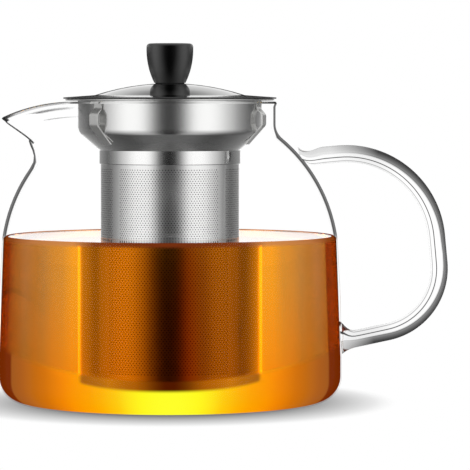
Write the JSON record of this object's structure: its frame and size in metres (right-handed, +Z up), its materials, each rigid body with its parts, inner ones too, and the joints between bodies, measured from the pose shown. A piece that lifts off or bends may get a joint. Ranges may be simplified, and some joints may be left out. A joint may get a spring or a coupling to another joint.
{
  "type": "glass teapot",
  "caption": "Clear glass teapot with a pulled pouring beak and a fused D handle, a lift-out perforated steel infuser held by spring clips, and a domed steel lid with a black knob.",
  "frame": {"origin": "on the pot's axis, at the table under the flat base", "axes": "+Z up, +X towards the handle, -X towards the pouring beak"},
  "size_m": [0.1834, 0.14, 0.1457],
  "materials": {
    "clear_glass": "blown and fire-polished, clear",
    "stainless_steel": "spun and satin-polished",
    "perforated_steel": "perforated sheet, satin",
    "spring_steel": "bent strip, satin",
    "polished_steel": "pressed and mirror-polished",
    "black_plastic": "moulded, glossy",
    "silicone": "moulded, matt",
    "brass": "turned"
  },
  "bodies": {
    "pot": {"glass_body": "clear_glass", "glass_handle": "clear_glass"},
    "infuser": {"infuser_collar": "stainless_steel", "basket_wall": "perforated_steel", "basket_floor": "perforated_steel"},
    "clip_right": {"clip_right": "spring_steel"},
    "clip_rear": {"clip_rear": "spring_steel"},
    "clip_front": {"clip_front": "spring_steel"},
    "lid": {"lid_cover": "polished_steel", "lid_skirt": "stainless_steel", "knob": "black_plastic", "knob_gasket": "silicone", "knob_insert": "brass", "knob_washer": "stainless_steel", "knob_screw": "stainless_steel"}
  },
  "joints": [
    {"name": "infuser_lift", "type": "slide", "parent": "pot", "child": "infuser", "axis": [0, 0, 1], "range_m": [0, 0.125]},
    {"name": "lid_lift", "type": "slide", "parent": "infuser", "child": "lid", "axis": [0, 0, 1], "range_m": [0, 0.05]},
    {"name": "clip_right_flex", "type": "hinge", "parent": "infuser", "child": "clip_right", "pos_m": [0.03609, -0.01173, 0.1194], "axis": [0.309, 0.9511, 0], "range_deg": [0, 2.5], "stiffness_Nm_per_rad": 0.1},
    {"name": "clip_rear_flex", "type": "hinge", "parent": "infuser", "child": "clip_rear", "pos_m": [-0.00789, 0.03712, 0.1194], "axis": [-0.9781, -0.2079, 0], "range_deg": [0, 2.5], "stiffness_Nm_per_rad": 0.1},
    {"name": "clip_front_flex", "type": "hinge", "parent": "infuser", "child": "clip_front", "pos_m": [-0.0282, -0.02539, 0.1194], "axis": [0.6691, -0.7431, 0], "range_deg": [0, 2.5], "stiffness_Nm_per_rad": 0.1}
  ]
}
